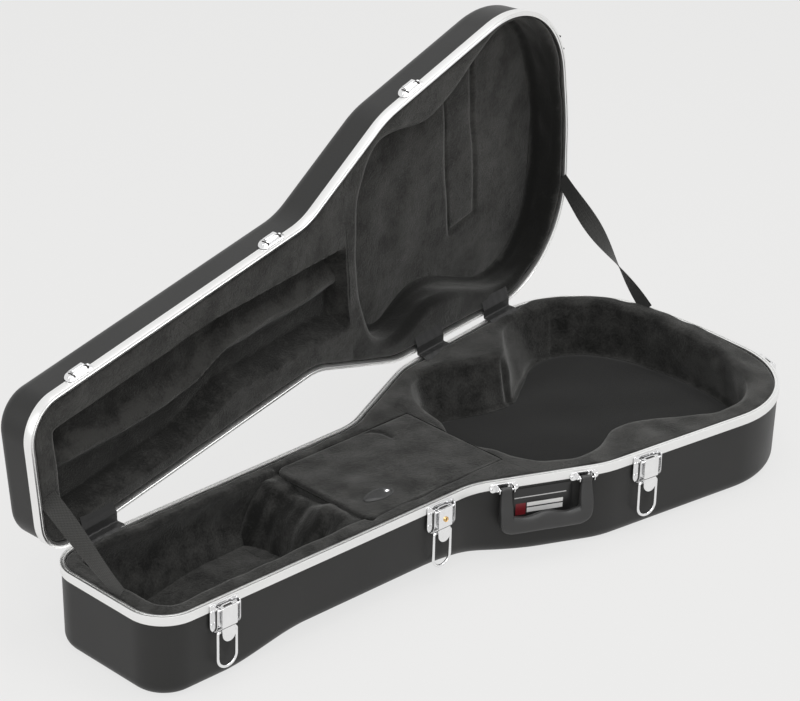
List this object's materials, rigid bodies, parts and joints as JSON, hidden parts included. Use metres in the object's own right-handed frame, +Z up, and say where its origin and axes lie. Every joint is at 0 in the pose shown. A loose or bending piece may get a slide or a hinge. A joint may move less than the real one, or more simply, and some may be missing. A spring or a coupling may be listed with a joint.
{
  "type": "parlor guitar case",
  "caption": "Hard case for a small-bodied guitar, shown open: moulded shells, metal rims, plush lining, drawbolt latches and a hanging handle",
  "frame": {"origin": "the underside's resting face, on the centre line, 0.8 m from the head end's rim", "axes": "+X along the case from the head end to the body end, +Y towards the hinges, +Z up"},
  "size_m": [1.1249, 0.5298, 0.5681],
  "materials": {
    "black_abs": "fine pebble grain, satin",
    "aluminium": "satin extrusion",
    "chrome": "polished",
    "brass": "polished",
    "black_plush": "short pile plush over foam",
    "black_vinyl": "grained vinyl",
    "black_webbing": "flat woven webbing",
    "black_moulding": "moulded, satin",
    "label": "bare printed label"
  },
  "bodies": {
    "base": {"accessory_box": "black_plush", "base_shell": "black_abs", "base_valance": "aluminium", "body_bolster_back": "black_plush", "body_bolster_front": "black_plush", "body_floor_pad": "black_plush", "handle_bracket_1": "chrome", "handle_bracket_2": "chrome", "headstock_floor_pad": "black_plush", "hinge_flap_1": "black_vinyl", "hinge_flap_2": "black_vinyl", "hinge_flap_3": "black_vinyl", "hinge_leaf_base_1": "chrome", "hinge_leaf_base_2": "chrome", "hinge_leaf_base_3": "chrome", "hinge_pin_1": "chrome", "hinge_pin_2": "chrome", "hinge_pin_3": "chrome", "label": "label", "latch_plate_1": "chrome", "latch_plate_2": "chrome", "latch_plate_3": "chrome", "latch_plate_4": "chrome", "neck_bolster_back": "black_plush", "neck_bolster_front": "black_plush", "neck_rest": "black_plush", "stay_strap_head": "black_webbing", "stay_strap_tail": "black_webbing"},
    "lid": {"catch_plate_1": "chrome", "catch_plate_2": "chrome", "catch_plate_3": "chrome", "catch_plate_4": "chrome", "hinge_leaf_lid_1": "chrome", "hinge_leaf_lid_2": "chrome", "hinge_leaf_lid_3": "chrome", "lid_body_panel": "black_plush", "lid_bolster_back": "black_plush", "lid_bolster_front": "black_plush", "lid_neck_pad": "black_plush", "lid_shell": "black_abs", "lid_valance": "aluminium"},
    "accessory_lid": {"accessory_lid": "black_plush", "pull_tab": "black_vinyl", "pull_tab_snap": "chrome"},
    "lock": {"lock_cylinder": "brass"},
    "handle": {"handle_grip": "black_moulding"},
    "lever_1": {"latch_lever_1": "chrome"},
    "bail_1": {"latch_bail_1": "chrome"},
    "lever_2": {"latch_lever_2": "chrome"},
    "bail_2": {"latch_bail_2": "chrome"},
    "lever_3": {"latch_lever_3": "chrome"},
    "bail_3": {"latch_bail_3": "chrome"},
    "lever_4": {"latch_lever_4": "chrome"},
    "bail_4": {"latch_bail_4": "chrome"}
  },
  "joints": [
    {"name": "lid_hinge", "type": "hinge", "parent": "base", "child": "lid", "pos_m": [0, 0.21135, 0.1145], "axis": [-0.9909, -0.1349, 0], "range_deg": [-88.4, 0], "deforming": ["stay_strap_head", "stay_strap_tail", "hinge_flap_1", "hinge_flap_2", "hinge_flap_3"]},
    {"name": "accessory_lid_hinge", "type": "hinge", "parent": "base", "child": "accessory_lid", "pos_m": [-0.2036, 0, 0.1095], "axis": [0, 1, 0], "range_deg": [0, 85]},
    {"name": "lever_1_hinge", "type": "hinge", "parent": "base", "child": "lever_1", "pos_m": [-0.70009, -0.11669, 0.1045], "axis": [-0.9999, 0.0119, 0], "range_deg": [0, 100]},
    {"name": "bail_1_hinge", "type": "hinge", "parent": "lever_1", "child": "bail_1", "pos_m": [-0.70007, -0.11499, 0.0735], "axis": [-0.9999, 0.0119, 0], "range_deg": [0, 125]},
    {"name": "lever_2_hinge", "type": "hinge", "parent": "base", "child": "lever_2", "pos_m": [-0.34109, -0.12097, 0.1045], "axis": [-0.9999, 0.0119, 0], "range_deg": [0, 100]},
    {"name": "bail_2_hinge", "type": "hinge", "parent": "lever_2", "child": "bail_2", "pos_m": [-0.34107, -0.11927, 0.0735], "axis": [-0.9999, 0.0119, 0], "range_deg": [0, 125]},
    {"name": "lever_3_hinge", "type": "hinge", "parent": "base", "child": "lever_3", "pos_m": [-0.04701, -0.20828, 0.1045], "axis": [-0.9909, 0.1349, 0], "range_deg": [0, 100]},
    {"name": "bail_3_hinge", "type": "hinge", "parent": "lever_3", "child": "bail_3", "pos_m": [-0.04678, -0.20659, 0.0735], "axis": [-0.9909, 0.1349, 0], "range_deg": [0, 125]},
    {"name": "lever_4_hinge", "type": "hinge", "parent": "base", "child": "lever_4", "pos_m": [0.29313, -0.12747, 0.1045], "axis": [-0.3289, -0.9444, 0], "range_deg": [0, 100]},
    {"name": "bail_4_hinge", "type": "hinge", "parent": "lever_4", "child": "bail_4", "pos_m": [0.29152, -0.12691, 0.0735], "axis": [-0.3289, -0.9444, 0], "range_deg": [0, 125]},
    {"name": "lock_turn", "type": "hinge", "parent": "lever_2", "child": "lock", "pos_m": [-0.34113, -0.12397, 0.0925], "axis": [-0.0119, -0.9999, 0], "range_deg": [0, 90]},
    {"name": "handle_hinge", "type": "hinge", "parent": "base", "child": "handle", "pos_m": [-0.19577, -0.16277, 0.105], "axis": [-0.9079, 0.4192, 0], "range_deg": [0, 100]}
  ]
}
